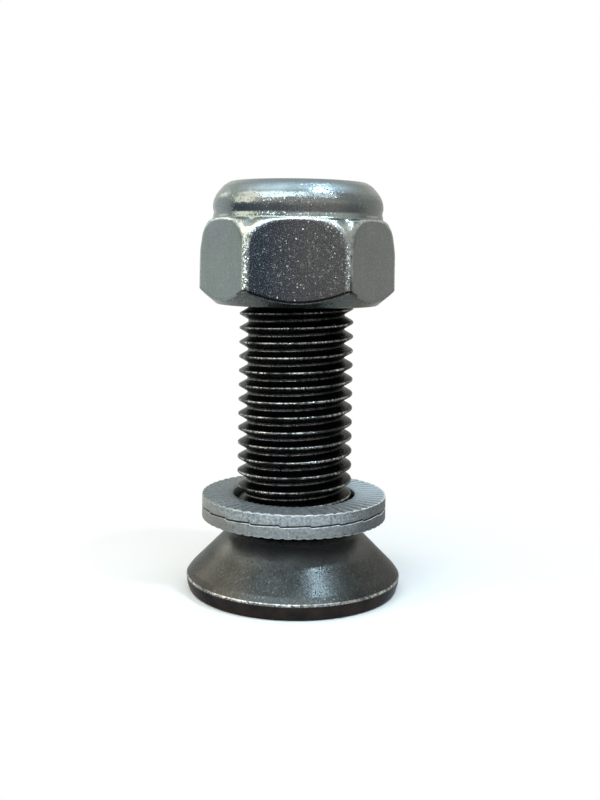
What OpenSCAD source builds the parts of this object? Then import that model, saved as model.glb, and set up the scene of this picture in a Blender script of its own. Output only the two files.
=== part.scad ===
// Countersunk socket bolt standing on its head, with a pair of wedge-locking washers
// at the foot of its thread and a nylon-insert lock nut at its tip. Sizes in millimetres.

/* [Thread] */
// Nominal diameter of the thread
thread_d = 16; // [15:0.5:17]
// Rise of the thread in one turn
thread_pitch = 2; // [1.5:0.25:2.5]
// Height of the bolt's tip above the flat face of its head
bolt_length = 55; // [45:1:80]
// Height of one crest of the thread on the +X side, which sets where the turns lie
crest_height = 37.14; // [36:0.1:38]

/* [Head] */
// Diameter of the head's rim
head_d = 29.7; // [28:0.1:34]
// Height at which the rim would meet the cone
rim_height = 2.28; // [1.9:0.02:2.8]
// Radius of the flat face that the bolt stands on
face_r = 14.1; // [13:0.1:14.3]
// Width across flats of the hexagon socket
socket_width = 10; // [8:0.5:12]
// Depth of the hexagon socket
socket_depth = 5.5; // [4.5:0.1:6.5]

/* [Washers] */
// Outer diameter of both washers
washer_d = 25.7; // [24:0.1:32]
// Height of one washer, from its toothed face to the middle of its wedges
washer_height = 1.6; // [1.3:0.1:2.2]
// Gap between the thread and the washers' bore
washer_play = 0.5; // [0.4:0.1:0.8]
// Number of radial teeth on each outer face
washer_teeth = 58; // [40:1:72]
// Depth of the radial teeth at the rim
tooth_depth = 0.2; // [0.1:0.05:0.3]
// Number of wedges on each inner face
wedge_count = 20; // [12:1:24]
// Rise of one wedge at the rim
wedge_rise = 0.18; // [0.12:0.02:0.3]

/* [Nut] */
// Width across the flats of the nut
across_flats = 24; // [23:0.5:27]
// Height of the nut's hexagon, up to the foot of its collar
hexagon_height = 12.2; // [10:0.2:14]
// Wall of the collar around the locking ring
collar_wall = 1.75; // [1.2:0.05:1.75]
// Height of the locking ring
ring_height = 3.85; // [2.8:0.05:4.5]
// Width of the locking ring from its bore to its rim
ring_width = 2.07; // [1.8:0.01:2.2]

/* [Hidden] */

// thread form: flat crests an eighth of a pitch wide, flanks at 60 degrees
thread_r = thread_d / 2;
root_r = thread_r - 0.6134 * thread_pitch;
half_crest = thread_pitch / 16;
half_root = half_crest + (thread_r - root_r) * tan(30);
thread_steps = 30;
end_land = 0.1;
thread_play = 0.14;
minor_r = thread_r - 0.5413 * thread_pitch + thread_play;
tap_r = thread_r + thread_play;
tap_half_crest = half_crest + 0.06;
tap_half_root = tap_half_crest + (tap_r - minor_r) * tan(30);

// heights of the bolt: cone of 45 degrees, then the neck that carries the washers
head_r = head_d / 2;
washer_bore_r = thread_r + washer_play;
neck_r = thread_r + washer_play + 0.4;
neck_foot_z = rim_height + head_r - neck_r;
seat_z = neck_foot_z + 1.67;
neck_top_z = seat_z + 0.9;
seat_r = washer_bore_r - 0.04;
neck_top_r = thread_r + 0.2;

// heights of the washers, with a thin gap between their wedges
wedge_gap = 0.05;
seam_z = seat_z + washer_height;
washer_top_z = seat_z + 2 * washer_height;
washer_r = washer_d / 2;
cutter_r = washer_r + 1.3;
wedge_step = 360 / wedge_count;
wedge_start = 10.2;
wedge_drop = 0.4;

// heights of the nut: its ring holds the last 3.3 mm of the thread
ring_fit = 0.05;
recess_r = thread_r + 0.1 + ring_width + ring_fit;
collar_r = recess_r + collar_wall;
nut_z = bolt_length - hexagon_height - 3.3;
ring_z = nut_z + hexagon_height + ring_fit;
lip_z = hexagon_height + 2 * ring_fit + ring_height;
corner_r = across_flats / 2 / cos(30);
bearing_r = across_flats / 2 - 0.75;
bevel_top = (corner_r - bearing_r) * tan(40);
lip_r = recess_r - 0.9;

// closed helical thread with flat ends; the turns fade in over runout and out over bevel
module threaded_rod(r_crest, r_root, crest_half, root_half, z_from, z_to, runout = 0, bevel = 0) {
    n = thread_steps;
    step_h = thread_pitch / n;
    first = ceil((z_from + root_half + end_land - crest_height) / step_h);
    last = floor((z_to - root_half - end_land - crest_height) / step_h);
    count = last - first;
    top = count - n;
    function point(r, i, z) = [r * cos(360 * (first + i) / n), r * sin(360 * (first + i) / n), z];
    function line_z(i) = crest_height + (first + i) * step_h;
    function share(i, length) = length > 0 ? min(1, i * step_h / length) : 1;
    function root(i) = r_crest - (r_crest - r_root) * share(i, runout);
    function crest(i) = r_root + (r_crest - r_root) * share(count - i, bevel);
    stations = [for (i = [0:count]) each [
        point(root(i), i, line_z(i) - root_half),
        point(crest(i), i, line_z(i) - crest_half),
        point(crest(i), i, line_z(i) + crest_half),
        point(root(i), i, line_z(i) + root_half)]];
    foot = [for (i = [0:n - 1]) point(root(0), i, z_from)];
    tip = [for (i = [0:n - 1]) point(r_root, top + i, z_to)];
    function at(i, k) = k < 4 ? 4 * i + k : 4 * (i + n);
    function foot_at(i) = 4 * (count + 1) + i % n;
    function tip_at(i) = foot_at(0) + n + i % n;
    function panel(a, b, c, d) = [[a, b, c], [a, c, d]];
    turns = [for (i = [0:count - 1], k = [0:2])
        each panel(at(i, k), at(i, k + 1), at(i + 1, k + 1), at(i + 1, k))];
    roots = [for (i = [0:top - 1])
        each panel(at(i, 3), at(i, 4), at(i + 1, 4), at(i + 1, 3))];
    foot_wall = [for (i = [0:n - 2])
        each panel(foot_at(i), at(i, 0), at(i + 1, 0), foot_at(i + 1))];
    foot_step = concat(
        [[foot_at(n - 1), at(n - 1, 0), foot_at(0)], [at(n - 1, 0), at(0, 0), foot_at(0)]],
        [for (k = [0:3]) [at(n - 1, 0), at(0, k + 1), at(0, k)]]);
    tip_wall = [for (i = [1:n - 1])
        each panel(at(top + i, 3), tip_at(i), tip_at(i + 1), at(top + i + 1, 3))];
    tip_step = concat(
        [[at(top, 3), at(count, 0), at(top + 1, 3)]],
        [for (k = [0:2]) [at(count, k), at(count, k + 1), at(top + 1, 3)]],
        [[at(count, 3), tip_at(0), at(top + 1, 3)], [tip_at(0), tip_at(1), at(top + 1, 3)]]);
    caps = [[for (i = [0:n - 1]) foot_at(i)], [for (i = [n - 1:-1:0]) tip_at(i)]];
    polyhedron(concat(stations, foot, tip),
        concat(turns, roots, foot_wall, foot_step, tip_wall, tip_step, caps));
}

// countersunk head with its socket, the neck under the washers, and the shank's thread
module bolt() {
    face_edge = head_r - face_r;
    color("dimgray")
    union() {
        difference() {
            rotate_extrude($fn = 96)
                polygon([
                    [0, 0], [face_r, 0], [head_r - 0.5 * face_edge, 0.22],
                    [head_r - 0.25 * face_edge, 0.8], [head_r - 0.08 * face_edge, 1.3],
                    [head_r, rim_height - 0.4], [head_r - 0.06, rim_height - 0.1],
                    [head_r - 0.34, rim_height + 0.34],
                    [neck_r + 0.3, neck_foot_z - 0.3], [neck_r, neck_foot_z + 0.2],
                    [seat_r, seat_z], [neck_top_r, neck_top_z], [0, neck_top_z]]);
            translate([0, 0, -1])
                cylinder(r = socket_width / 2 / cos(30), h = socket_depth + 1, $fn = 6);
            rotate_extrude($fn = 96)
                polygon([[0, socket_depth - 0.01], [socket_width / 2 - 0.02, socket_depth - 0.01],
                    [0, socket_depth + 1.4]]);
            rotate_extrude($fn = 96)
                polygon([[0, -1], [socket_width / 2 / cos(30) + 0.9, -1],
                    [socket_width / 2 / cos(30) - 0.5, 0.5], [0, 0.5]]);
        }
        threaded_rod(thread_r, root_r, half_crest, half_root, neck_top_z, bolt_length, 1.5, 1.2);
    }
}

// solid above a rim of points [angle, height], reaching in to one point on the axis
module ridged_cutter(rim, r) {
    n = len(rim);
    points = concat([[0, 0, 0], [0, 0, 1.5]],
        [for (p = rim) [r * cos(p[0]), r * sin(p[0]), p[1]]],
        [for (p = rim) [r * cos(p[0]), r * sin(p[0]), 1.5]]);
    faces = [for (i = [0:n - 1]) let (a = 2 + i, b = 2 + (i + 1) % n) each
        [[0, a, b], [a, a + n, b + n], [a, b + n, b], [1, b + n, a + n]]];
    polyhedron(points, faces);
}

// cuts radial V teeth into the face at z = 0, from above
module tooth_cutter() {
    ridged_cutter([for (i = [0:washer_teeth - 1]) each [
        [i * 360 / washer_teeth, 0],
        [(i + 0.5) * 360 / washer_teeth, -tooth_depth * cutter_r / washer_r]]], cutter_r);
}

// cuts the ring of wedges, rising anticlockwise seen from above; way is 1 from above, -1 from below
module wedge_cutter(way) {
    half_rise = way * wedge_rise / 2 * cutter_r / washer_r;
    ridged_cutter([for (i = [0:wedge_count - 1]) each [
        [wedge_start + i * wedge_step, -half_rise],
        [wedge_start + (i + 1) * wedge_step - wedge_drop, half_rise]]], cutter_r);
}

module washer_blank(z_from, z_to) {
    translate([0, 0, z_from])
        difference() {
            cylinder(r = washer_r, h = z_to - z_from, $fn = 96);
            translate([0, 0, -1]) cylinder(r = washer_bore_r, h = z_to - z_from + 2, $fn = 96);
        }
}

module lower_wedge_washer() {
    color("silver")
    difference() {
        washer_blank(seat_z, seam_z + 0.5);
        translate([0, 0, seam_z - wedge_gap / 2]) wedge_cutter(1);
        translate([0, 0, seat_z]) mirror([0, 0, 1]) tooth_cutter();
    }
}

module upper_wedge_washer() {
    color("silver")
    difference() {
        washer_blank(seam_z - 0.5, washer_top_z);
        translate([0, 0, seam_z + wedge_gap / 2]) mirror([0, 0, 1]) wedge_cutter(-1);
        translate([0, 0, washer_top_z]) tooth_cutter();
    }
}

// hexagon with its bevels and arched shoulders, and the domed collar above it
module nut_outside() {
    shoulder_z = hexagon_height - 3.9;
    translate([0, 0, nut_z])
        intersection() {
            cylinder(r = corner_r, h = lip_z + 2, $fn = 6);
            rotate_extrude($fn = 96)
                polygon([
                    [0, 0], [bearing_r, 0], [corner_r - 0.4, bevel_top - 0.33],
                    [corner_r - 0.1, bevel_top + 0.2], [corner_r - 0.1, shoulder_z - 1.2],
                    [corner_r - 0.2, shoulder_z + 0.3],
                    [corner_r - 0.5, shoulder_z + 1.5], [corner_r - 0.96, shoulder_z + 2.25],
                    [corner_r - 1.5, shoulder_z + 3.05], [collar_r + 0.02, shoulder_z + 3.75],
                    [collar_r - 0.04, hexagon_height + 0.3], [collar_r, hexagon_height + 0.9],
                    [collar_r, hexagon_height + 1.7], [collar_r - 0.12, hexagon_height + 2.3],
                    [collar_r - 0.42, hexagon_height + 3], [collar_r - 0.9, hexagon_height + 3.65],
                    [collar_r - 1.5, lip_z + 0.4], [collar_r - 2.2, lip_z + 0.85],
                    [lip_r + 0.1, lip_z + 1], [0, lip_z + 1]]);
        }
}

module nut_body() {
    color("lightsteelblue")
    difference() {
        nut_outside();
        threaded_rod(tap_r, minor_r, tap_half_crest, tap_half_root,
            nut_z - thread_pitch - 0.4, nut_z + hexagon_height + thread_pitch + 1.1);
        translate([0, 0, nut_z])
            rotate_extrude($fn = 96)
                polygon([[0, -1], [tap_r + 0.6, -1], [tap_r + 0.6, 0], [tap_r + 0.1, 0.5],
                    [tap_r + 0.1, 0.8], [0, 0.8]]);
        translate([0, 0, nut_z])
            rotate_extrude($fn = 96)
                polygon([[0, hexagon_height], [recess_r, hexagon_height], [recess_r, lip_z],
                    [lip_r, lip_z + 0.5], [lip_r, lip_z + 2], [0, lip_z + 2]]);
    }
}

module nylon_ring() {
    color("ivory")
    translate([0, 0, ring_z])
        rotate_extrude($fn = 96)
            polygon([
                [thread_r + 0.1, 0.35], [thread_r + 0.45, 0], [recess_r - ring_fit, 0],
                [recess_r - ring_fit, ring_height - 0.3], [recess_r - ring_fit - 0.3, ring_height],
                [thread_r + 0.45, ring_height], [thread_r + 0.1, ring_height - 0.35]]);
}

bolt();
lower_wedge_washer();
upper_wedge_washer();
nut_body();
nylon_ring();
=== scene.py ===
import bpy
import bmesh
import math
import numpy as np
from mathutils import Matrix


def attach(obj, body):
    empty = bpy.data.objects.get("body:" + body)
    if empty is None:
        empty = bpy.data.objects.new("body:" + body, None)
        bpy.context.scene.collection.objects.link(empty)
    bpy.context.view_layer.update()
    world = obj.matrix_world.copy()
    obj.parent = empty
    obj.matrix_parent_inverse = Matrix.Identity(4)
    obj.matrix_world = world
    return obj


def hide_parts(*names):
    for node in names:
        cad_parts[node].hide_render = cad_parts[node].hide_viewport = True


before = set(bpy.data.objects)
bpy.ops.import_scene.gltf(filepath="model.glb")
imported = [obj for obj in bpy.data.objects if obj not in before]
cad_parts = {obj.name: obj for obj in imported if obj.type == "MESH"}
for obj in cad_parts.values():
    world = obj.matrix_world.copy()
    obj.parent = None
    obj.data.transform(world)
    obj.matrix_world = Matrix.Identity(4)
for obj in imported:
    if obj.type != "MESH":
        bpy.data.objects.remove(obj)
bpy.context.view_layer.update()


# The bolt. One piece of steel, forged with a countersunk head and a hexagon socket in its
# flat face, then rolled with a right-hand thread and blackened. It stands on its head. Sizes
# are in millimetres, except in the studio, and heights are above the face of the head.
MM = 0.001
THREAD_R = 8.0
ROOT_R = 6.773
PITCH = 2.0
CREST_Z = 37.14
RUNOUT = 1.5
NECK_TOP = 10.8
TIP_Z = 55.0
TIP_R = 6.74
TIP_SLOPE = 1.02
SOCKET_W = 10.0
SOCKET_CORNER_R = SOCKET_W / math.sqrt(3)
SOCKET_DEPTH = 5.5
DRILL_POINT = 1.4
SOCKET_FILLET = 0.12
MOUTH_R = 6.6
MOUTH_DEPTH = 0.55
FACE_R = 14.1
RIM_EDGE_Z = 2.12


def rounded(corners, step, soften):
    """Walks the polyline of (radius, height) corners in equal steps and averages each point with
    its neighbours under a bell of the width soften, so that every corner becomes a small arc."""
    corners = np.array(corners, float)
    run = np.concatenate([[0], np.cumsum(np.hypot(*np.diff(corners, axis=0).T))])
    fine = step / 4
    s = np.linspace(0, run[-1], max(int(run[-1] / fine), 8) + 1)
    path = np.stack([np.interp(s, run, corners[:, 0]), np.interp(s, run, corners[:, 1])], 1)
    reach = max(int(2.5 * soften / fine), 1)
    bell = np.exp(-0.5 * (np.arange(-reach, reach + 1) * fine / max(soften, 1e-6)) ** 2)
    bell /= bell.sum()
    before = 2 * path[:1] - path[reach:0:-1]
    after = 2 * path[-1:] - path[-2:-reach - 2:-1]
    ends = np.concatenate([before, path, after])
    path = np.stack([np.convolve(ends[:, k], bell, "valid") for k in (0, 1)], 1)
    count = max(int(run[-1] / step), 4) + 1
    keep = np.linspace(0, len(path) - 1, count).round().astype(int)
    return path[keep]


def folding(r, z):
    """How sharply the profile folds from row to row: the turn between two steps divided by their
    mean length, times 0.3 mm. A convex round of 0.3 mm or less gives 1, a hollow one -1."""
    before = np.stack([r[1:-1] - r[:-2], z[1:-1] - z[:-2]])
    after = np.stack([r[2:] - r[1:-1], z[2:] - z[1:-1]])
    first_step = np.hypot(*before)
    second_step = np.hypot(*after)
    turned = before[0] * after[1] - before[1] * after[0]
    sharp = turned / (first_step * second_step * (first_step + second_step) / 2 + 1e-9)
    sharp = np.where((first_step > 0.004) & (second_step > 0.004), sharp, 0)
    return np.pad(np.clip(sharp * 0.3, -1, 1), ((1, 1), (0, 0)))


def closed_surface(name, r, angle, z, marks=0, painted_shade_and_burnish=None):
    """A grid of rows along a profile and columns round the axis: x = r cos(angle), y = r sin(angle),
    height z, in millimetres. Equal points of neighbouring rows, of the seam and of the poles are merged,
    so the surface closes. The folding, with the marks added to it, is kept as attribute fold, and the
    last argument, which carries painted shade and burnish, above 0 where painted shade darkens and below
    0 where burnished, as an attribute of the argument's name."""
    r, angle, z = np.broadcast_arrays(r, angle, z)
    points = np.stack([r * np.cos(angle), r * np.sin(angle), z], -1).reshape(-1, 3) * MM
    rows, columns = r.shape
    index = np.arange(rows * columns).reshape(rows, columns)
    quads = np.stack([index[:-1, :-1], index[:-1, 1:], index[1:, 1:], index[1:, :-1]], -1)
    mesh = bpy.data.meshes.new(name)
    mesh.from_pydata(points.tolist(), [], quads.reshape(-1, 4).tolist())
    fold = mesh.attributes.new("fold", "FLOAT", "POINT")
    marked = np.clip(folding(r, z) + marks, -1, 1)
    fold.data.foreach_set("value", marked.ravel().astype(np.float32))
    if painted_shade_and_burnish is not None:
        mask = mesh.attributes.new("painted_shade_and_burnish", "FLOAT", "POINT")
        mask.data.foreach_set("value", (painted_shade_and_burnish + 0 * r).ravel().astype(np.float32))
    work = bmesh.new()
    work.from_mesh(mesh)
    bmesh.ops.remove_doubles(work, verts=work.verts, dist=4e-7)
    bmesh.ops.dissolve_degenerate(work, edges=work.edges, dist=1e-8)
    work.to_mesh(mesh)
    work.free()
    mesh.polygons.foreach_set("use_smooth", np.ones(len(mesh.polygons), bool))
    piece = bpy.data.objects.new(name, mesh)
    bpy.context.scene.collection.objects.link(piece)
    return piece


def thread_radius(offset, crest, root, grow):
    """Radius of a 60 degree thread at an axial offset from its crest line: straight flanks that
    would meet at an edge, cut off softly at the crest and rounded at the root; grow widens the
    groove of a nut."""
    cut_off = 0.2165
    crest_round = 0.035
    root_round = 0.06
    sharp = crest + cut_off - (np.abs(offset) - grow) * math.sqrt(3)
    top = crest - np.logaddexp(0, (crest - sharp) / crest_round) * crest_round
    low = root + np.logaddexp(0, (top - root) / root_round) * root_round
    return np.minimum(low, crest)


def hexagon_radius(angle, width):
    """Distance from the axis to a hexagon of this width across flats, corners on the x axis."""
    return width / 2 / np.cos((angle + 1e-9) % (math.pi / 3) - math.pi / 6)


turn = np.linspace(0, 2 * math.pi, 163)[None, :]

# the socket and the head, from the middle of the socket's floor outwards and up to the neck;
# the fillet draws in the socket's six corners
floor_share = np.array([0, 0.25, 0.5, 0.75, 0.97, 1])[:, None]
hexagon = hexagon_radius(turn, SOCKET_W)
hexagon = hexagon - SOCKET_FILLET * np.exp(-((hexagon - SOCKET_CORNER_R) / 0.18) ** 2)
floor_r = floor_share * hexagon
floor_z = SOCKET_DEPTH + DRILL_POINT * (1 - floor_share) + 0 * turn
wall_z = np.array([5.3, 4.4, 3.3, 2.2, 1.2, 0.7])[:, None] + 0 * turn
wall_r = hexagon + 0 * wall_z
mouth = np.array([0.15, 0.5, 0.85, 1.0])[:, None]
mouth_r = hexagon + (MOUTH_R - hexagon) * mouth
mouth_z = (MOUTH_DEPTH - 0.3 * (SOCKET_CORNER_R - hexagon)) * (1 - mouth)
face_path = rounded([(MOUTH_R, 0), (FACE_R, 0), (14.47, 0.22), (14.66, 0.8), (14.79, 1.3),
                     (14.83, 1.7)], 0.17, 0.11)
edge_path = rounded([(14.83, 1.7), (14.85, 1.8), (14.9, 2.06), (14.23, 2.9)], 0.05, 0.13)
cone_path = rounded([(14.23, 2.9), (9.2, 7.93), (8.9, 8.43), (8.46, 9.85), (8.3, 10.55),
                     (8.05, 10.78)], 0.17, 0.11)
head_path = np.concatenate([[(MOUTH_R, 0)], face_path[1:-1], edge_path, cone_path[1:]])
head_r = head_path[:, :1] + 0 * turn
head_z = head_path[:, 1:] + 0 * turn

# the thread: rows follow the helix, are held between the neck and the tip, fade in and out
offsets = np.array([-1.0, -0.9, -0.8, -0.66, -0.45, -0.25, -0.15, -0.09, -0.03,
                    0.03, 0.09, 0.15, 0.25, 0.45, 0.66, 0.8, 0.9])
first = math.floor((NECK_TOP - CREST_Z) / PITCH) - 2
last = math.ceil((TIP_Z - CREST_Z) / PITCH) + 1
line = (np.arange(first, last)[:, None] * PITCH + offsets[None, :]).reshape(-1, 1)
offset = np.tile(offsets, last - first)[:, None]
thread_z = np.clip(CREST_Z + line + PITCH * turn / (2 * math.pi), NECK_TOP, TIP_Z)
fade = np.clip((thread_z - NECK_TOP) / RUNOUT, 0, 1)
cut = thread_radius(offset, THREAD_R, ROOT_R, 0)
thread_r = THREAD_R + (cut - THREAD_R) * fade
tip_bevel = TIP_R + (TIP_Z - thread_z) * TIP_SLOPE
thread_r = np.minimum(thread_r, tip_bevel)
tip_r = np.array([6.55, 4.5, 2.2, 0])[:, None] + 0 * turn
tip_z = TIP_Z + 0 * tip_r

bolt_z = np.concatenate([floor_z, wall_z, mouth_z, head_z, thread_z, tip_z])
bolt_r = np.concatenate([floor_r, wall_r, mouth_r, head_r, thread_r, tip_r])

# rubbed edges: the rim of the head, and the line of each crest, but not the side just below it
rubbed = 0.7 * np.exp(-((bolt_z - RIM_EDGE_Z) / 0.14) ** 2) * (bolt_r > FACE_R)
crest_line = np.where(np.abs(offset) < 0.05, 0.4, 0)
crest_side = np.where(np.abs(offset + 0.16) < 0.12, -0.6, 0)
rubbed[-len(tip_z) - len(thread_z):-len(tip_z)] += crest_line + crest_side
bolt = closed_surface("bolt_blackened", bolt_r, turn, bolt_z, rubbed)


def joined(tree, value, socket):
    """Sets a socket to a plain value or links it."""
    if isinstance(value, (int, float)):
        socket.default_value = value
    elif isinstance(value, tuple):
        socket.default_value = value + (1,) if len(socket.default_value) > len(value) else value
    else:
        tree.links.new(value, socket)


def remapped(tree, value, low, high, to_low=0.0, to_high=1.0):
    """A value drawn out in a straight line, so that low becomes to_low and high becomes to_high,
    and held at these two beyond."""
    remap = tree.nodes.new("ShaderNodeMapRange")
    joined(tree, value, remap.inputs["Value"])
    joined(tree, low, remap.inputs["From Min"])
    joined(tree, high, remap.inputs["From Max"])
    joined(tree, to_low, remap.inputs["To Min"])
    joined(tree, to_high, remap.inputs["To Max"])
    return remap.outputs["Result"]


def ranged(tree, mask, low, high):
    """A mask drawn out from low, where it is 0, to high, where it is 1."""
    return remapped(tree, mask, 0.0, 1.0, low, high)


def noisy(tree, place, scale, detail, low, high):
    """Noise at a place, remapped so that low becomes 0 and high becomes 1."""
    noise = tree.nodes.new("ShaderNodeTexNoise")
    noise.inputs["Detail"].default_value = detail
    joined(tree, place, noise.inputs["Vector"])
    joined(tree, scale, noise.inputs["Scale"])
    return remapped(tree, noise.outputs["Fac"], low, high)


def turned_place(tree, place, angle, stretch):
    """The place turned and then squeezed along its axes, which draws a pattern out in one direction."""
    mapping = tree.nodes.new("ShaderNodeMapping")
    mapping.inputs["Rotation"].default_value = angle
    mapping.inputs["Scale"].default_value = stretch
    tree.links.new(place, mapping.inputs["Vector"])
    return mapping.outputs["Vector"]


def blended(tree, amount, first_colour, second_colour):
    mix = tree.nodes.new("ShaderNodeMix")
    mix.data_type = "RGBA"
    joined(tree, amount, mix.inputs[0])
    joined(tree, first_colour, mix.inputs[6])
    joined(tree, second_colour, mix.inputs[7])
    return mix.outputs[2]


def layered(tree, tone, layers):
    """Lays colours over a tone one after the other; each layer is an (amount, colour)."""
    for amount, colour in layers:
        tone = blended(tree, amount, tone, colour)
    return tone


def combined(tree, kind, first_value, second_value):
    """One step of arithmetic with numbers, held between 0 and 1."""
    step = tree.nodes.new("ShaderNodeMath")
    step.operation = kind
    step.use_clamp = True
    joined(tree, first_value, step.inputs[0])
    joined(tree, second_value, step.inputs[1])
    return step.outputs[0]


def times(tree, first_value, second_value):
    return combined(tree, "MULTIPLY", first_value, second_value)


def vector_step(tree, kind, first_value, second_value=None):
    """One step of arithmetic with vectors, whose result is a vector, a length or a product."""
    step = tree.nodes.new("ShaderNodeVectorMath")
    step.operation = kind
    joined(tree, first_value, step.inputs[0])
    if second_value is not None:
        joined(tree, second_value, step.inputs["Scale" if kind == "SCALE" else 1])
    return step.outputs["Value" if kind in ("LENGTH", "DOT_PRODUCT") else "Vector"]


def effect(name, inputs, outputs):
    """Starts a group of nodes with a Vector input, further number inputs and number outputs."""
    group = bpy.data.node_groups.new(name, "ShaderNodeTree")
    group.interface.new_socket(name="Vector", in_out="INPUT", socket_type="NodeSocketVector")
    for label, value in inputs:
        socket = group.interface.new_socket(name=label, in_out="INPUT", socket_type="NodeSocketFloat")
        socket.default_value = value
    for label in outputs:
        group.interface.new_socket(name=label, in_out="OUTPUT", socket_type="NodeSocketFloat")
    return group, group.nodes.new("NodeGroupInput"), group.nodes.new("NodeGroupOutput")


# grain of a metal's skin: a fine and a coarse noise, and their sum as a height
metal_grain, given, result = effect(
    "metal_grain", [("Fine Scale", 2500), ("Coarse Scale", 400)], ["Fine", "Coarse", "Height"])
fine = noisy(metal_grain, given.outputs["Vector"], given.outputs["Fine Scale"], 3, 0.32, 0.68)
coarse = noisy(metal_grain, given.outputs["Vector"], given.outputs["Coarse Scale"], 4, 0.34, 0.66)
both = combined(metal_grain, "ADD", times(metal_grain, fine, 0.6), times(metal_grain, coarse, 0.4))
for label, value in (("Fine", fine), ("Coarse", coarse), ("Height", both)):
    joined(metal_grain, value, result.inputs[label])

# wear that keeps to the edges, with a painted highlight on the nut's arches: bright where the surface
# folds outwards and the noise is high, and a second mask for the hollows, which carries painted shade on
# the washers and the nut and a painted highlight in the thread's roots
edge_wear, given, result = effect(
    "edge_wear", [("Fold", 0), ("Scale", 1500), ("Cover", 0.5)], ["Bright", "Hollow"])
patchy = noisy(edge_wear, given.outputs["Vector"], given.outputs["Scale"], 3, 0.3, 0.7)
more_cover = combined(edge_wear, "SUBTRACT", given.outputs["Cover"], 0.5)
patchy = combined(edge_wear, "ADD", patchy, more_cover)
folded_out = remapped(edge_wear, given.outputs["Fold"], 0.3, 0.9)
joined(edge_wear, times(edge_wear, folded_out, patchy), result.inputs["Bright"])
joined(edge_wear, times(edge_wear, given.outputs["Fold"], -1.0), result.inputs["Hollow"])

# glitter of a crystalline skin: cells of a random tilt, one in five of them steep, which catch
# a lamp one by one
glitter, given, result = effect("glitter", [("Scale", 5000), ("Tilt", 0.2)], [])
glitter.interface.new_socket(name="Normal", in_out="INPUT", socket_type="NodeSocketVector")
glitter.interface.new_socket(name="Normal", in_out="OUTPUT", socket_type="NodeSocketVector")
cells = glitter.nodes.new("ShaderNodeTexVoronoi")
joined(glitter, given.outputs["Vector"], cells.inputs["Vector"])
joined(glitter, given.outputs["Scale"], cells.inputs["Scale"])
chances = glitter.nodes.new("ShaderNodeSeparateColor")
joined(glitter, cells.outputs["Color"], chances.inputs["Color"])
steepness = remapped(glitter, chances.outputs["Green"], 0.8, 1.0, 0.4, 3.0)
lean = vector_step(glitter, "SUBTRACT", cells.outputs["Color"], (0.5, 0.5, 0.5))
lean = vector_step(glitter, "SCALE", lean, steepness)
lean = vector_step(glitter, "SCALE", lean, given.outputs["Tilt"])
leaning = vector_step(glitter, "ADD", given.outputs["Normal"], lean)
joined(glitter, vector_step(glitter, "NORMALIZE", leaning), result.inputs["Normal"])

# fine scratches: three noises, each drawn out in another direction, kept where they peak
fine_scratches, given, result = effect("fine_scratches", [("Scale", 900)], ["Scratch"])
scratch = 0.0
for angles in ((0.3, 0.5, 0.2), (0.9, -0.6, 1.3), (-0.4, 1.1, 2.3)):
    drawn = turned_place(fine_scratches, given.outputs["Vector"], angles, (1, 1, 0.07))
    streak = noisy(fine_scratches, drawn, given.outputs["Scale"], 1, 0.66, 0.78)
    scratch = combined(fine_scratches, "ADD", streak, scratch)
joined(fine_scratches, scratch, result.inputs["Scratch"])


def object_place(tree):
    return tree.nodes.new("ShaderNodeTexCoord").outputs["Object"]


def placed(tree, group, values):
    """Puts a group into a material, with its own values or links for the named inputs."""
    node = tree.nodes.new("ShaderNodeGroup")
    node.node_tree = group
    joined(tree, object_place(tree), node.inputs["Vector"])
    for label, value in values.items():
        joined(tree, value, node.inputs[label])
    return node.outputs


def mask_of(tree, name):
    mask = tree.nodes.new("ShaderNodeAttribute")
    mask.attribute_name = name
    return mask.outputs["Fac"]


def along_axis(tree, low, high, axis="Z"):
    """Mask that rises from 0 to 1 as the height, or another coordinate, goes from low to high."""
    parts = tree.nodes.new("ShaderNodeSeparateXYZ")
    joined(tree, object_place(tree), parts.inputs["Vector"])
    return remapped(tree, parts.outputs[axis], low * MM, high * MM)


def sparkling(tree, scale, tilt):
    """The surface's normal, leaning another way in each cell of the glitter."""
    normal = tree.nodes.new("ShaderNodeNewGeometry").outputs["Normal"]
    return placed(tree, glitter, {"Scale": scale, "Tilt": tilt, "Normal": normal})["Normal"]


def bumped(tree, height, strength, distance, normal=None):
    bump = tree.nodes.new("ShaderNodeBump")
    bump.inputs["Strength"].default_value = strength
    bump.inputs["Distance"].default_value = distance * MM
    tree.links.new(height, bump.inputs["Height"])
    if normal:
        tree.links.new(normal, bump.inputs["Normal"])
    return bump.outputs["Normal"]


def new_material(name):
    """Starts a material: gives it, its tree of nodes and its shader."""
    material = bpy.data.materials.new(name)
    material.use_nodes = True
    tree = material.node_tree
    return material, tree, tree.nodes["Principled BSDF"]


black_steel, tree, shader = new_material("blackened_steel")
grain = placed(tree, metal_grain, {"Fine Scale": 3600.0, "Coarse Scale": 330.0})
wear = placed(tree, edge_wear, {"Fold": mask_of(tree, "fold"), "Scale": 2600.0, "Cover": 0.33})
scratches = placed(tree, fine_scratches, {"Scale": 3900.0})
on_head = along_axis(tree, 8.6, 7.8)
above_rim = along_axis(tree, 1.8, 2.0)
# painted shade on the head's front, painted light just under the washers, painted warm light on its left
head_front_painted_shade = times(tree, along_axis(tree, -6.0, -11.0, "Y"),
                   ranged(tree, along_axis(tree, -1.0, 2.0, "X"), 0.47, 0.34))
painted_light_under_washers = along_axis(tree, 5.4, 6.8)
head_left_painted_warm_light = along_axis(tree, -5.0, -12.0, "X")
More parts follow.
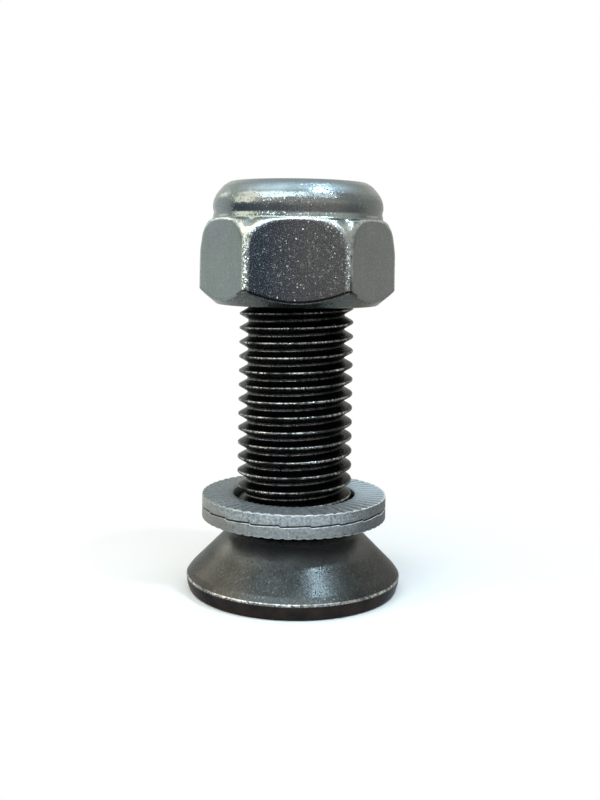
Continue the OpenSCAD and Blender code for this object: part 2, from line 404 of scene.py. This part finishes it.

# the head: dark grain and light scratches, darker in front with painted shade, lighter just under the
# washers with painted light and warmer on the left with painted warm light; below the rubbed edge its
# rim is nearly black, in places brownish
head_tone = blended(tree, grain["Coarse"], (0.066, 0.068, 0.065), (0.092, 0.093, 0.088))
head_tone = layered(tree, head_tone, [
    (times(tree, grain["Fine"], 0.5), (0.03, 0.032, 0.034)),
    (times(tree, scratches["Scratch"], 0.75), (0.2, 0.208, 0.215)),
    (head_front_painted_shade, (0.012, 0.016, 0.02)),
    (times(tree, painted_light_under_washers, 0.6), (0.18, 0.185, 0.19)),
    (times(tree, head_left_painted_warm_light, 0.22), (0.16, 0.135, 0.105))])
rim_tone = blended(tree, grain["Coarse"], (0.013, 0.013, 0.0135), (0.038, 0.026, 0.023))
head_tone = blended(tree, above_rim, rim_tone, head_tone)

# the thread: nearly black, with a painted highlight in the roots that fades towards the right
root_painted_highlight = times(tree, times(tree, wear["Hollow"], wear["Hollow"]), grain["Fine"])
root_painted_highlight = times(tree, root_painted_highlight, ranged(tree, along_axis(tree, 2.5, 4.8, "X"), 1.0, 0.15))
thread_tone = blended(tree, grain["Fine"], (0.004, 0.0042, 0.0045), (0.011, 0.011, 0.0115))
thread_tone = blended(tree, root_painted_highlight, thread_tone, (0.32, 0.32, 0.325))

# bare steel on the rubbed edges, brightest in the peaks of the grain
bare = times(tree, wear["Bright"], above_rim)
peaks = times(tree, times(tree, grain["Coarse"], grain["Fine"]), 2.1)
peaks = combined(tree, "ADD", peaks, times(tree, on_head, 0.35))
bare_tone = blended(tree, peaks, (0.075, 0.074, 0.072), (0.82, 0.81, 0.79))
tone = blended(tree, bare, blended(tree, on_head, thread_tone, head_tone), bare_tone)
tree.links.new(tone, shader.inputs["Base Color"])
rough = combined(tree, "SUBTRACT", ranged(tree, grain["Coarse"], 0.22, 0.3), times(tree, bare, 0.03))
rough = combined(tree, "ADD", rough, times(tree, on_head, 0.07))
tree.links.new(rough, shader.inputs["Roughness"])
shader.inputs["Metallic"].default_value = 0.92
shader.inputs["Specular IOR Level"].default_value = 0.3
shader.inputs["Specular Tint"].default_value = (0.6, 0.6, 0.6, 1)
lively = sparkling(tree, 6500.0, ranged(tree, on_head, 0.14, 0.09))
tree.links.new(bumped(tree, grain["Fine"], 0.22, 0.02, lively), shader.inputs["Normal"])
bolt.data.materials.append(black_steel)
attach(bolt, "bolt")
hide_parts("bolt")


# The wedge washers. Two like rings of hardened steel lie face to face, with wedges between them
# and radial teeth outside. They are pressed and coated with matte zinc flake.
WASHER_R = 12.85
BORE_R = 8.5
SEAT_Z = 9.9
SEAM_Z = 11.5
WASHER_TOP = 13.1
SEAM_GAP = 0.05
BORE_ROUND = 0.12
TEETH = 58
TOOTH_DEPTH = 0.12
WEDGES = 20
WEDGE_RISE = 0.18
WEDGE_START = math.radians(10.2)
STEPS_A_TOOTH = 20
round_washer = np.linspace(0, 2 * math.pi, TEETH * STEPS_A_TOOTH + 1)[None, :]


def teeth_depth(angle, r):
    """Depth of the radial teeth: narrow softened V notches between broad crests, deeper with
    the radius."""
    share = np.abs((angle * TEETH / (2 * math.pi)) % 1 * 2 - 1)
    softness = 0.07
    notch = np.logaddexp(0, (1 - 1.9 * np.sqrt(share ** 2 + 0.002)) / softness) * softness
    return TOOTH_DEPTH * np.minimum(notch, 1) * r / WASHER_R


def wedge_height(angle, r):
    """Height of the wedges: a slow rise and a steep fall, twenty times round."""
    share = ((angle - WEDGE_START) * WEDGES / (2 * math.pi)) % 1
    rising_part = 0.975
    saw = np.where(share < rising_part, share / rising_part, (1 - share) / (1 - rising_part))
    return WEDGE_RISE * (saw - 0.5) * r / WASHER_R


def washer(name, lower, upper, lower_edge, upper_edge, toothed):
    """Closed ring: its section runs over the lower face, up the rim, back over the upper face and down
    the bore, as (radius, inset, share of the height, fold). The lower and the upper function give the
    height of a face at (angle, radius), and each edge the (radius, inset, fold) steps of its round. The
    notches of the toothed face, share 0 or 1, count as hollows, which darkens them with painted shade,
    more so on the right."""
    face = [(r, 0, 0, 0) for r in (8.62, 9.6, 10.6, 11.6, 12.3)]
    bore = [(BORE_R, BORE_ROUND, 0, 0)]
    section = (bore + face + [(r, inset, 0, fold) for r, inset, fold in lower_edge]
               + [(WASHER_R, 0, share, 0) for share in (0.3, 0.5, 0.7)]
               + [(r, inset, 1, fold) for r, inset, fold in upper_edge[::-1]]
               + [(r, 0, 1, 0) for r, _, _, _ in face[::-1]]
               + [(BORE_R, BORE_ROUND, 1, 0), (BORE_R, 0, 0.5, 0)] + bore)
    radii, inset, share, fold = (column[:, None] for column in np.array(section, float).T)
    low = lower(round_washer, radii)
    high = upper(round_washer, radii)
    heights = low + (high - low) * share + inset * (1 - 2 * (share > 0.5))
    # painted shade in the notches, stronger towards the right
    notch_painted_shade = 0.06 + 0.8 * np.clip((radii * np.cos(round_washer) - 1) / 6, 0, 1)
    notches = notch_painted_shade * teeth_depth(round_washer, radii) / TOOTH_DEPTH * (share == toothed)
    return closed_surface(name, radii, round_washer, heights, fold - notches)


# the rounds of the edges: of the toothed faces, and of the two faces at the seam, where the edge of the
# lower washer is rubbed, after a line of painted shade where it starts, and that of the upper one is
# darkened with painted shade
toothed_edge = [(12.6, 0, 0), (12.78, 0.012, 0.3), (12.83, 0.045, 0.7), (WASHER_R, 0.1, 0),
                (WASHER_R, 0.2, 0)]
wedged_edge = [(12.55, 0, -1), (12.74, 0.02, -0.5), (12.81, 0.035, 0.6), (WASHER_R, 0.08, 0.3),
               (WASHER_R, 0.15, 0)]
shaded_edge = [(12.3, 0.02, -1), (12.45, 0.1, -1), (12.7, 0.11, -1), (12.8, 0.13, -1),
               (WASHER_R, 0.17, -0.9), (WASHER_R, 0.24, 0)]
lower_washer = washer(
    "wedge_washer_lower",
    lambda angle, r: SEAT_Z + teeth_depth(angle, r),
    lambda angle, r: SEAM_Z - SEAM_GAP / 2 + wedge_height(angle, r), toothed_edge, wedged_edge, 0)
upper_washer = washer(
    "wedge_washer_upper",
    lambda angle, r: SEAM_Z + SEAM_GAP / 2 + wedge_height(angle, r),
    lambda angle, r: WASHER_TOP - teeth_depth(angle, r), shaded_edge, toothed_edge, 1)

zinc_flake, tree, shader = new_material("matte_zinc_flake")
grain = placed(tree, metal_grain, {"Fine Scale": 3200.0, "Coarse Scale": 700.0})
wear = placed(tree, edge_wear, {"Fold": mask_of(tree, "fold"), "Scale": 1400.0, "Cover": 0.65})
# painted shade: the washers darken towards their foot
foot_painted_shade = along_axis(tree, 12.2, 10.9)
on_top = along_axis(tree, 12.95, 13.02)
on_rim = ranged(tree, on_top, 1.0, 0.0)

# the top face is darker towards the left with painted shade, and lighter at the right and behind with
# painted light
top_painted_shade = times(tree, on_top, along_axis(tree, 12.0, 4.0, "X"))
top_painted_light = times(tree, along_axis(tree, 4.0, 9.0, "X"), along_axis(tree, -7.0, 2.0, "Y"))
top_painted_light = times(tree, on_top, top_painted_light)

# the rim is darker at its sides with painted shade, warmer on the left with painted warm light and
# lighter in front with painted light
side_painted_shade = combined(tree, "ADD", times(tree, along_axis(tree, -11.5, -6.5, "Y"), 0.42),
                     times(tree, along_axis(tree, 2.0, 9.0, "X"), 0.37))
left_painted_warm_light = times(tree, on_rim, along_axis(tree, -5.0, -11.5, "X"))
front_painted_light = times(tree, on_rim, along_axis(tree, -9.5, -12.3, "Y"))

# its edges are worn bright, and painted shade leaves hardly any of it on the far left and less at the
# foot
worn_edges_and_painted_shade = times(tree, wear["Bright"], ranged(tree, along_axis(tree, -11.0, -5.0, "X"), 0.15, 0.9))
worn_edges_and_painted_shade = times(tree, worn_edges_and_painted_shade, ranged(tree, along_axis(tree, 10.2, 10.8), 0.35, 1.0))
tone = layered(tree, blended(tree, grain["Fine"], (0.115, 0.135, 0.15), (0.45, 0.495, 0.52)), [
    (times(tree, grain["Coarse"], 0.25), (0.24, 0.265, 0.275)),
    (times(tree, foot_painted_shade, 0.5), (0.05, 0.05, 0.045)),
    (times(tree, top_painted_shade, 0.46), (0.04, 0.045, 0.05)),
    (times(tree, top_painted_light, 0.68), (0.62, 0.72, 0.8)),
    (times(tree, on_rim, side_painted_shade), (0.05, 0.055, 0.055)),
    (times(tree, left_painted_warm_light, 0.15), (0.62, 0.53, 0.38)),
    (times(tree, front_painted_light, 0.14), (0.62, 0.66, 0.68)),
    (worn_edges_and_painted_shade, (0.82, 0.87, 0.88)),
    # painted shade in the hollows: along the seam and in the notches of the teeth
    (times(tree, wear["Hollow"], 0.96), (0.01, 0.012, 0.012))])
tree.links.new(tone, shader.inputs["Base Color"])
tree.links.new(ranged(tree, grain["Fine"], 0.42, 0.6), shader.inputs["Roughness"])
shader.inputs["Metallic"].default_value = 0.35
lively = sparkling(tree, 4200.0, 0.45)
tree.links.new(bumped(tree, grain["Height"], 0.5, 0.04, lively), shader.inputs["Normal"])
for piece, node in ((lower_washer, "lower_wedge_washer"), (upper_washer, "upper_wedge_washer")):
    piece.data.materials.append(zinc_flake)
    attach(piece, "bolt")
    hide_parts(node)


# The nut. A hexagon of steel, cold formed with bevelled ends and a thin collar, threaded, plated
# with bright zinc, its collar rolled in over the nylon ring. The heights of its paths and masks
# are above its bearing face.
NUT_Z = 39.5
FLATS = 24.0
NUT_THREAD_R = 8.14
NUT_CORE_R = 7.06
THREAD_START = 0.8
THREAD_RUN_IN = 0.4
NUT_MOUTH_R = 8.74
RECESS_R = 10.22
RECESS_Z = 12.2
LIP_R = 9.32
LIP_Z = 16.65

# the angles round the nut lie closer together towards its corners
sixth = np.linspace(0, 1, 47)[:-1]
sixth = (sixth - 0.125 * np.sin(2 * math.pi * sixth)) * math.pi / 3
round_nut = np.append((np.arange(6)[:, None] * math.pi / 3 + sixth).ravel(), 2 * math.pi)[None, :]


def soft_least(first_part, second_part, width):
    """The smaller of two distances, with a round of the given width where they are equal."""
    near = np.clip(1 - np.abs(first_part - second_part) / width, 0, 1)
    return np.minimum(first_part, second_part) - near ** 2 * width / 4


# the outside: what is turned on it, from the bearing face over the bevel, the shoulder and the
# collar to its lip, and the flats that cut it; beside each corner the shoulder swells by the
# ledge, which gives the arches at the top of the flats their square course; corner_gap is the
# distance along a flat from its nearest corner
nut_path = rounded([(NUT_MOUTH_R, 0), (11.25, 0), (14.1, 2.4), (14.1, 7.0), (13.66, 8.6),
                    (13.4, 9.8), (13.03, 10.55), (12.5, 11.15), (12.15, 11.5), (11.97, 11.85),
                    (11.92, 12.3), (11.82, 12.65), (11.85, 12.92), (11.97, 13.3),
                    (11.97, 13.85), (11.85, 14.5), (11.55, 15.2), (11.07, 15.85),
                    (10.47, 16.55), (9.77, 17.0), (9.45, 17.13), (9.34, 17.0),
                    (LIP_R, LIP_Z)], 0.13, 0.13)
nut_path[0] = (NUT_MOUTH_R, 0)
height = nut_path[:, 1:]
spread = 0.5 + 0.6 * np.clip((height - 9.2) / 2.6, 0, 1)
sector = np.abs((round_nut % (math.pi / 3)) - math.pi / 6)
flat_side = FLATS / 2 / np.cos(sector)
corner_gap = (math.pi / 6 - sector) * FLATS * 2 / 3
corner_round = np.clip(1 - corner_gap / spread, 0, 1)
flat_side = flat_side - corner_round ** 2 * spread / 4
edge_width = 0.12 + 0.4 * np.clip((height - 4) / 4, 0, 1)
ledge = np.interp(height, [8.6, 10.6, 11.15, 11.5, 11.7, 11.9], [0, 0.2, 0.32, 0.42, 0.25, 0])
away = np.clip(corner_gap / 1.8, 0, 1)
turned_side = nut_path[:, :1] + ledge * away ** 2 * (3 - 2 * away)
nut_r = soft_least(flat_side, turned_side, edge_width)
nut_z = height + 0 * round_nut

# the inside: the recess that holds the ring, the threaded bore and its mouth
recess = rounded([(LIP_R, LIP_Z), (9.9, 16.35), (RECESS_R, 16.15), (RECESS_R, RECESS_Z),
                  (NUT_THREAD_R, RECESS_Z)], 0.3, 0.03)[1:]
recess_r = recess[:, :1] + 0 * round_nut
recess_z = recess[:, 1:] + 0 * round_nut
inner = np.array([-1.0, -0.8, -0.5, -0.25, -0.12, 0.0, 0.12, 0.25, 0.5, 0.8])[::-1]
turns = np.arange(9, -3, -1)[:, None] * PITCH
line = (turns + inner[None, :]).reshape(-1, 1)
offset = np.tile(inner, len(turns))[:, None]
bore_z = np.clip(CREST_Z + line + PITCH * round_nut / (2 * math.pi),
                 NUT_Z + THREAD_START, NUT_Z + RECESS_Z) - NUT_Z
cut = thread_radius(offset, NUT_THREAD_R, NUT_CORE_R, 0.06)
bore_share = (np.clip((bore_z - THREAD_START) / THREAD_RUN_IN, 0, 1)
              * np.clip((RECESS_Z - bore_z) / THREAD_RUN_IN, 0, 1))
bore_r = NUT_THREAD_R + (cut - NUT_THREAD_R) * bore_share
mouth_r = np.array([8.24, 8.5, NUT_MOUTH_R])[:, None] + 0 * round_nut
mouth_z = np.array([0.5, 0.25, 0.0])[:, None] + 0 * round_nut

# marks added to the folding: the corners of the flats are worn bright, the arches over them carry a
# painted highlight, and the line where the bevel meets a flat is darkened with painted shade, mostly in
# front
on_flats = flat_side < turned_side + 0.1
nut_marks = np.clip(1.25 - corner_gap / 0.8, 0, 1) * on_flats * (height > 3.4)
bevel_line = np.clip(1.3 - np.abs(flat_side - turned_side + 0.19) / 0.25, 0, 1) * (height < 2.45)
arch_line = np.clip(1.2 - np.abs(flat_side - turned_side) / (0.16 + 0.14 * away), 0, 1)
arch_line = arch_line * (height > 6) * (height < 12.4)
nut_marks = np.maximum(nut_marks, 0.9 * arch_line)
nut_marks = nut_marks - 2 * bevel_line * np.where(np.sin(round_nut) < -0.8, 1, 0.12)

# painted shade and burnish: the bevel is darkened with painted shade; the corners of the flats are
# burnished, with painted light making them brighter on the left than on the right, where one side of
# each is darkened with painted shade instead; the shoulder above each corner is burnished too
nut_painted_shade_and_burnish = np.clip(0.5 + (flat_side - turned_side) / 0.1, 0, 1) * (height < 4)
facing_right = np.cos(round_nut) > 0
corner_burnish_and_shade = np.where(facing_right, 0.7, 1)
corner_burnish_and_shade = np.where(facing_right & (round_nut % (math.pi / 3) < math.pi / 6), -0.5, corner_burnish_and_shade)
nut_painted_shade_and_burnish = nut_painted_shade_and_burnish - np.clip(1.4 - corner_gap / 0.6, 0, 1) * corner_burnish_and_shade * on_flats
shoulder = np.clip((height - 6.5) / 1.5, 0, 1) * np.clip((11.6 - height) / 1.0, 0, 1)
nut_painted_shade_and_burnish = nut_painted_shade_and_burnish - 0.75 * shoulder * np.clip(1.5 - corner_gap / 2.6, 0, 1) * ~on_flats

inside = np.concatenate([recess_r, bore_r, mouth_r])
nut = closed_surface(
    "nut_zinc_plated", np.concatenate([nut_r, inside]), round_nut,
    np.concatenate([nut_z, recess_z, bore_z, mouth_z]) + NUT_Z,
    np.concatenate([nut_marks, 0 * inside]), np.concatenate([nut_painted_shade_and_burnish, 0 * inside]))

zinc_plate, tree, shader = new_material("bright_zinc_plate")
grain = placed(tree, metal_grain, {"Fine Scale": 3200.0, "Coarse Scale": 260.0})
tint = placed(tree, metal_grain, {"Fine Scale": 500.0, "Coarse Scale": 60.0})
wear = placed(tree, edge_wear, {"Fold": mask_of(tree, "fold"), "Scale": 1900.0, "Cover": 0.75})
specks = placed(tree, metal_grain, {"Fine Scale": 6500.0, "Coarse Scale": 1500.0})
scratches = placed(tree, fine_scratches, {"Scale": 1300.0})
# painted shade above 0; burnish below 0, with painted light brighter on the left
painted_shade_and_burnish = mask_of(tree, "painted_shade_and_burnish")
burnish_and_painted_light = times(tree, painted_shade_and_burnish, -1.0)
above_bevel = along_axis(tree, NUT_Z + 3.2, NUT_Z + 4.2)
# worn bright edges, and along the arches a painted highlight
worn_edge_and_highlight = times(tree, times(tree, wear["Bright"], above_bevel), 0.8)

# the front flat is dull with a painted reflection, bluish on its left and grey on its right, with specks
# and light flecks
front_flat = along_axis(tree, -11.7, -11.9, "Y")
front_flat_painted_reflection = blended(tree, along_axis(tree, -4.5, 1.5, "X"), (0.026, 0.045, 0.075), (0.185, 0.172, 0.163))
speck = times(tree, specks["Fine"], specks["Fine"])
speckled = times(tree, speck, ranged(tree, along_axis(tree, -2.5, 2.5, "X"), 0.4, 0.27))
fleck = times(tree, times(tree, specks["Coarse"], specks["Coarse"]), speck)
fleck = times(tree, combined(tree, "SUBTRACT", fleck, 0.2), 1.5)


def nut_band(tree, start, full, fading, end):
    """Mask of a band round the nut, which rises from start to full and falls from fading to end."""
    return combined(tree, "SUBTRACT", along_axis(tree, NUT_Z + start, NUT_Z + full),
                    along_axis(tree, NUT_Z + fading, NUT_Z + end))


# the front of the collar is lighter in three bands of painted highlight: where it is rolled in, at its
# waist, and at its foot, there mostly on the right
rolled = times(tree, nut_band(tree, 15.0, 15.8, 16.1, 16.7), along_axis(tree, -7.0, -9.8, "Y"))
rolled = times(tree, rolled, ranged(tree, grain["Coarse"], 0.3, 0.65))
waist = times(tree, nut_band(tree, 12.6, 12.9, 14.1, 14.6), along_axis(tree, -9.5, -11.0, "Y"))
waist = times(tree, waist, ranged(tree, specks["Fine"], 0.15, 0.7))
foot = times(tree, nut_band(tree, 11.75, 12.0, 12.4, 12.7), along_axis(tree, -8.5, -10.5, "Y"))
foot = times(tree, foot, ranged(tree, along_axis(tree, -2.0, 2.0, "X"), 0.1, 0.65))

# painted shade in the hollows low on the outside, along the line where the bevel meets a flat
off_axis = vector_step(tree, "LENGTH", vector_step(tree, "MULTIPLY", object_place(tree), (1, 1, 0)))
on_outside = remapped(tree, off_axis, 10.6 * MM, 10.9 * MM)
low_hollow_painted_shade = combined(tree, "SUBTRACT", times(tree, wear["Hollow"], on_outside), above_bevel)
tone = layered(tree, blended(tree, tint["Coarse"], (0.195, 0.235, 0.218), (0.205, 0.22, 0.245)), [
    (times(tree, grain["Coarse"], 0.25), (0.16, 0.185, 0.18)),
    (times(tree, scratches["Scratch"], 0.12), (0.4, 0.43, 0.45)),
    (times(tree, front_flat, 0.9), front_flat_painted_reflection),
    (times(tree, front_flat, speckled), (0.55, 0.59, 0.63)),
    (times(tree, front_flat, fleck), (0.8, 0.85, 0.9)),
    # painted shade on the bevel and on one side of each right corner, then the burnish with its painted
    # light
    (times(tree, painted_shade_and_burnish, 0.74), (0.01, 0.012, 0.006)),
    (times(tree, burnish_and_painted_light, 0.8), (0.62, 0.65, 0.6)),
    (worn_edge_and_highlight, (0.6, 0.66, 0.65)),
    (rolled, (0.46, 0.57, 0.64)),
    (waist, (0.5, 0.49, 0.46)),
    (foot, (0.56, 0.62, 0.6)),
    (times(tree, low_hollow_painted_shade, 0.95), (0.02, 0.014, 0.015))])
tree.links.new(tone, shader.inputs["Base Color"])
rough = combined(tree, "ADD", ranged(tree, grain["Coarse"], 0.16, 0.24), times(tree, worn_edge_and_highlight, 0.12))
rough = combined(tree, "ADD", rough, times(tree, speck, ranged(tree, front_flat, 0.06, 0.24)))
rough = combined(tree, "ADD", rough, times(tree, rolled, 0.21))
tree.links.new(rough, shader.inputs["Roughness"])
shader.inputs["Metallic"].default_value = 1.0
burnished_strip = times(tree, burnish_and_painted_light, along_axis(tree, NUT_Z + 9.0, NUT_Z + 7.0))
lively = sparkling(tree, 6500.0, ranged(tree, burnished_strip, 0.2, 2.6))
tree.links.new(bumped(tree, grain["Height"], 0.25, 0.03, lively), shader.inputs["Normal"])
nut.data.materials.append(zinc_plate)
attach(nut, "nut")
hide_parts("nut_body")


# The locking ring. Turned from plain nylon, pressed into the collar before it is rolled in.
RING_Z = 51.75
RING_R = 10.17
RING_BORE_R = 8.1
RING_H = 3.85
round_ring = np.linspace(0, 2 * math.pi, 193)[None, :]
ring_path = rounded([(RING_BORE_R, 1.9), (RING_BORE_R, 0.35), (8.45, 0), (RING_R, 0),
                     (RING_R, 3.55), (9.87, RING_H), (8.45, RING_H), (RING_BORE_R, 3.5),
                     (RING_BORE_R, 1.9)], 0.12, 0.07)
ring_path[-1] = ring_path[0]
ring = closed_surface("locking_ring_nylon", ring_path[:, :1] + 0 * round_ring, round_ring,
                      ring_path[:, 1:] + RING_Z + 0 * round_ring)
nylon, tree, shader = new_material("plain_nylon")
grain = placed(tree, metal_grain, {"Fine Scale": 1500.0, "Coarse Scale": 350.0})
tone = blended(tree, grain["Coarse"], (0.62, 0.6, 0.5), (0.74, 0.72, 0.64))
tree.links.new(tone, shader.inputs["Base Color"])
tree.links.new(ranged(tree, grain["Coarse"], 0.38, 0.5), shader.inputs["Roughness"])
tree.links.new(bumped(tree, grain["Height"], 0.2, 0.03), shader.inputs["Normal"])
ring.data.materials.append(nylon)
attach(ring, "locking_ring")
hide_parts("nylon_ring")


# The studio, in metres: a pale floor that keeps the shadow, a white ground, soft lamps, and the
# camera level with the thread's top, as the photograph was taken.
FLOOR_HALF = 3
floor_mesh = bpy.data.meshes.new("floor")
floor_mesh.from_pydata([(-FLOOR_HALF, -FLOOR_HALF, 0), (FLOOR_HALF, -FLOOR_HALF, 0),
                        (FLOOR_HALF, FLOOR_HALF, 0), (-FLOOR_HALF, FLOOR_HALF, 0)],
                       [], [(0, 1, 2, 3)])
floor = bpy.data.objects.new("floor", floor_mesh)
bpy.context.scene.collection.objects.link(floor)


def rays_seen(tree):
    """Two masks: of the rays that a shine sends out, and of all rays that show something, which
    come from the camera, from a shine or through something clear."""
    rays = tree.nodes.new("ShaderNodeLightPath").outputs
    shown = combined(tree, "MAXIMUM", rays["Is Camera Ray"], rays["Is Glossy Ray"])
    return rays["Is Glossy Ray"], combined(tree, "MAXIMUM", shown, rays["Is Transmission Ray"])


def rising(tree, value, start, end):
    """Smooth step of a value from 0 at the start to 1 at the end."""
    result = remapped(tree, value, start, end)
    result.node.interpolation_type = "SMOOTHSTEP"
    return result


def surroundings(tree, direction, in_shine):
    """White, but what shines shows a dim room towards the photographer and less light on the
    right than on the left."""
    parts = tree.nodes.new("ShaderNodeSeparateXYZ")
    joined(tree, direction, parts.inputs["Vector"])
    across, back, up = (parts.outputs[axis] for axis in "XYZ")
    overhead = rising(tree, up, 0.6, 0.9)
    lit = combined(tree, "MAXIMUM", rising(tree, back, 0.1, 0.42), overhead)
    dim = blended(tree, rising(tree, across, -0.3, 0.3), (0.19, 0.22, 0.26), (0.36, 0.35, 0.35))
    dim = blended(tree, rising(tree, up, 0.03, 0.22), dim, (0.6, 0.61, 0.58))
    to_right = rising(tree, across, -0.6, 0.85)
    bright = blended(tree, to_right, (0.9, 0.96, 0.92), (0.62, 0.6, 0.54))
    raised = blended(tree, to_right, (1.02, 1.08, 1.0), (0.86, 0.84, 0.78))
    bright = blended(tree, rising(tree, up, 0.15, 0.45), bright, raised)
    bright = blended(tree, overhead, bright, (1.0, 1.11, 1.15))
    return blended(tree, in_shine, (1.0, 1.0, 1.0), blended(tree, lit, dim, bright))


# the floor takes the shadow round the foot; further off it shines like the white ground
floor_paint, tree, shader = new_material("pale_floor")
shader.inputs["Base Color"].default_value = (0.94, 0.94, 0.94, 1)
shader.inputs["Roughness"].default_value = 0.9
shader.inputs["Specular IOR Level"].default_value = 0.0
white = tree.nodes.new("ShaderNodeEmission")
mixed = tree.nodes.new("ShaderNodeMixShader")
in_shine, shown = rays_seen(tree)
place = object_place(tree)
further_off = rising(tree, vector_step(tree, "LENGTH", place), 0.016, 0.06)
joined(tree, times(tree, shown, further_off), mixed.inputs[0])
ground_colour = surroundings(tree, vector_step(tree, "NORMALIZE", place), in_shine)
joined(tree, ground_colour, white.inputs["Color"])
joined(tree, shader.outputs["BSDF"], mixed.inputs[1])
joined(tree, white.outputs["Emission"], mixed.inputs[2])
joined(tree, mixed.outputs["Shader"], tree.nodes["Material Output"].inputs["Surface"])
floor.data.materials.append(floor_paint)

# the white ground; its light comes mostly from a window behind the bolt on the right
WINDOW_WAY = (0.62, 0.68, 0.38)
world = bpy.data.worlds.new("white_ground")
bpy.context.scene.world = world
world.use_nodes = True
tree = world.node_tree
ground = tree.nodes["Background"]
in_shine, shown = rays_seen(tree)
direction = tree.nodes.new("ShaderNodeTexCoord").outputs["Generated"]
from_window = rising(tree, vector_step(tree, "DOT_PRODUCT", direction, WINDOW_WAY), 0.6, 0.95)
window = ranged(tree, from_window, 0.28, 1.2)
joined(tree, ranged(tree, shown, window, 1.0), ground.inputs["Strength"])
joined(tree, surroundings(tree, direction, in_shine), ground.inputs["Color"])


def soft_lamp(name, place, aim, width, height, power, colour):
    """A square or oblong lamp that stands at a place and shines at the aim."""
    lamp = bpy.data.lights.new(name, "AREA")
    lamp.shape = "RECTANGLE"
    lamp.size = width
    lamp.size_y = height
    lamp.energy = power
    lamp.color = colour
    item = bpy.data.objects.new(name, lamp)
    item.location = place
    way = np.array(aim, float) - np.array(place, float)
    pitch_turn = math.acos(-way[2] / np.linalg.norm(way))
    item.rotation_euler = (pitch_turn, 0, math.atan2(way[1], way[0]) - math.pi / 2)
    bpy.context.scene.collection.objects.link(item)


soft_lamp("box_left", (-0.121, -0.265, 0.335), (0, 0, 0.045), 0.42, 0.19, 1.25, (0.86, 0.97, 1.0))
soft_lamp("box_right", (0.185, -0.22, 0.335), (0, 0, 0.045), 0.2, 0.14, 0.22, (0.82, 0.95, 1.0))
soft_lamp("lamp_left", (-0.347, -0.061, 0.274), (0, 0, 0.045), 0.24, 0.32, 0.6, (1.0, 0.93, 0.74))
soft_lamp("lamp_low_left", (-0.3, 0.25, 0.215), (0, 0, 0.005), 0.1, 0.1, 0.08, (1.0, 0.93, 0.78))
soft_lamp("lamp_top", (0.165, -0.125, 0.462), (0, 0, 0.005), 0.035, 0.035, 0.8, (0.64, 0.86, 1.0))
soft_lamp("lamp_top_left", (-0.137, -0.139, 0.47), (0, 0, 0.005), 0.06, 0.06, 0.03, (0.9, 0.96, 1.0))

# camera: level, 145 mm from the bolt's axis, its view shifted down to the photograph's frame, whose
# sizes are in pixels
PICTURE_W = 600
PICTURE_H = 800
FOCUS = 1029.518
MIDDLE_X = 297.531
LEVEL_Y = 252.139
SENSOR_H = 36
CAMERA_PLACE = (0, -144.929 * MM, 46.844 * MM)
CAMERA_ROLL = 0.015
camera_data = bpy.data.cameras.new("camera")
camera = bpy.data.objects.new("camera", camera_data)
camera_data.sensor_fit = "VERTICAL"
camera_data.sensor_height = SENSOR_H
camera_data.sensor_width = SENSOR_H * PICTURE_W / PICTURE_H
camera_data.lens = FOCUS * SENSOR_H / PICTURE_H
camera_data.shift_x = (PICTURE_W / 2 - MIDDLE_X) / PICTURE_H
camera_data.shift_y = (LEVEL_Y - PICTURE_H / 2) / PICTURE_H
camera_data.clip_start = 0.01
camera_data.clip_end = 20
camera.matrix_world = (Matrix.Translation(CAMERA_PLACE) @ Matrix.Rotation(math.pi / 2, 4, "X")
                       @ Matrix.Rotation(CAMERA_ROLL, 4, "Z"))
bpy.context.scene.collection.objects.link(camera)
bpy.context.scene.camera = camera
bpy.context.scene.view_settings.view_transform = "Standard"
